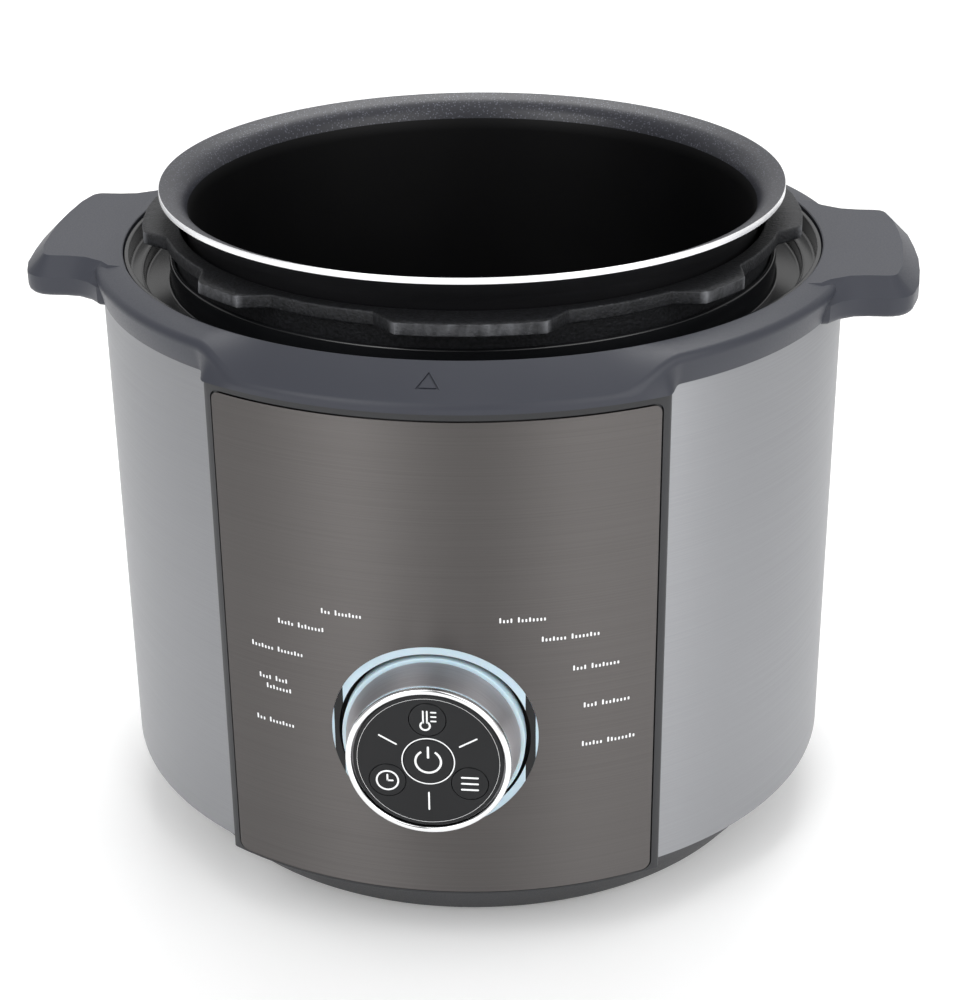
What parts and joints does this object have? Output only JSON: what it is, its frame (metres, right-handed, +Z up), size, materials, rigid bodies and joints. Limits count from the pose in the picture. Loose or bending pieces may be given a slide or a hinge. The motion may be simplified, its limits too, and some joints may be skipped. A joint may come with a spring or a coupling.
{
  "type": "electric pressure cooker",
  "caption": "Electric pressure cooker with its lid off: lift-out pot over a sprung heater plate, brushed shell with side handles, turning dial with push keys and a pull-off cup.",
  "frame": {"origin": "on the surface it stands on, on the body's vertical axis, which is midway between the dial's front and the condensate cup's back", "axes": "+Z up along the body's axis, -Y towards the dial, +X towards the right-hand handle seen from the front"},
  "size_m": [0.351, 0.3364, 0.2635],
  "materials": {
    "collar_plastic": "satin",
    "base_plastic": "satin",
    "black_plastic": "satin",
    "gloss_black": "gloss",
    "brushed_shell": "brushed",
    "bronze_panel": "brushed",
    "cast_metal": "rough cast",
    "shield_sheet": "rolled",
    "cast_aluminium": "machined",
    "pot_coating": "non-stick",
    "steel": "plain",
    "chrome": "polished",
    "dial_metal": "brushed",
    "light_pipe": "frosted",
    "rubber": "matt",
    "circuit_board": "gloss",
    "blue_plastic": "gloss",
    "brass": "plain",
    "cup_plastic": "satin"
  },
  "bodies": {
    "cooker_body": {"base_housing": "base_plastic", "base_plate": "black_plastic", "rubber_feet": "rubber", "base_screws": "steel", "outer_shell": "brushed_shell", "top_collar": "collar_plastic", "condensation_ring": "gloss_black", "drain_spout": "black_plastic", "outer_pot": "cast_metal", "heat_shield": "shield_sheet", "pot_supports": "steel", "heater_springs": "steel", "panel_frame": "black_plastic", "control_panel": "bronze_panel", "light_ring": "light_pipe", "dial_post": "black_plastic", "led_board": "circuit_board", "key_board": "circuit_board", "key_switches": "black_plastic", "dial_face": "gloss_black", "encoder_body": "black_plastic", "control_board": "circuit_board", "power_board": "circuit_board", "board_standoffs": "black_plastic", "transformer": "black_plastic", "relay": "blue_plastic", "capacitors": "steel", "pressure_switch": "black_plastic", "thermal_fuse": "steel", "power_inlet": "black_plastic", "inlet_pins": "brass", "cup_holder": "black_plastic"},
    "heater": {"heater_plate": "cast_aluminium", "heating_element": "steel", "heater_terminals": "brass", "sensor_strap": "steel", "sensor_spring": "steel"},
    "sensor": {"sensor_cap": "cast_aluminium"},
    "pot": {"inner_pot": "pot_coating"},
    "dial": {"dial_foot_ring": "light_pipe", "dial_drum": "dial_metal", "dial_rim": "chrome", "encoder_rotor": "black_plastic"},
    "start_key": {"start_key": "gloss_black"},
    "pressure_key": {"pressure_key": "gloss_black"},
    "time_key": {"time_key": "gloss_black"},
    "preset_key": {"preset_key": "gloss_black"},
    "cup": {"condensate_cup": "cup_plastic"}
  },
  "joints": [
    {"name": "heater_drop", "type": "slide", "parent": "cooker_body", "child": "heater", "axis": [0, 0, 1], "range_m": [-0.003, 0], "stiffness_N_per_m": 8000, "springref_m": 0.004, "deforming": ["heater_springs"]},
    {"name": "sensor_press", "type": "slide", "parent": "heater", "child": "sensor", "axis": [0, 0, 1], "range_m": [-0.0015, 0], "stiffness_N_per_m": 800, "springref_m": 0.002, "deforming": ["sensor_spring"]},
    {"name": "pot_lift", "type": "slide", "parent": "heater", "child": "pot", "axis": [0, 0, 1], "range_m": [0, 0.2]},
    {"name": "dial_turn", "type": "hinge", "parent": "cooker_body", "child": "dial", "pos_m": [0, 0, 0.097], "axis": [0, -1, 0], "continuous": true},
    {"name": "start_key_press", "type": "slide", "parent": "cooker_body", "child": "start_key", "axis": [0, 1, 0], "range_m": [0, 0.0006], "stiffness_N_per_m": 1500, "springref_m": -0.0004},
    {"name": "pressure_key_press", "type": "slide", "parent": "cooker_body", "child": "pressure_key", "axis": [0, 1, 0], "range_m": [0, 0.0006], "stiffness_N_per_m": 1500, "springref_m": -0.0004},
    {"name": "time_key_press", "type": "slide", "parent": "cooker_body", "child": "time_key", "axis": [0, 1, 0], "range_m": [0, 0.0006], "stiffness_N_per_m": 1500, "springref_m": -0.0004},
    {"name": "preset_key_press", "type": "slide", "parent": "cooker_body", "child": "preset_key", "axis": [0, 1, 0], "range_m": [0, 0.0006], "stiffness_N_per_m": 1500, "springref_m": -0.0004},
    {"name": "cup_pull", "type": "slide", "parent": "cooker_body", "child": "cup", "axis": [0, 1, 0], "range_m": [0, 0.06]}
  ]
}
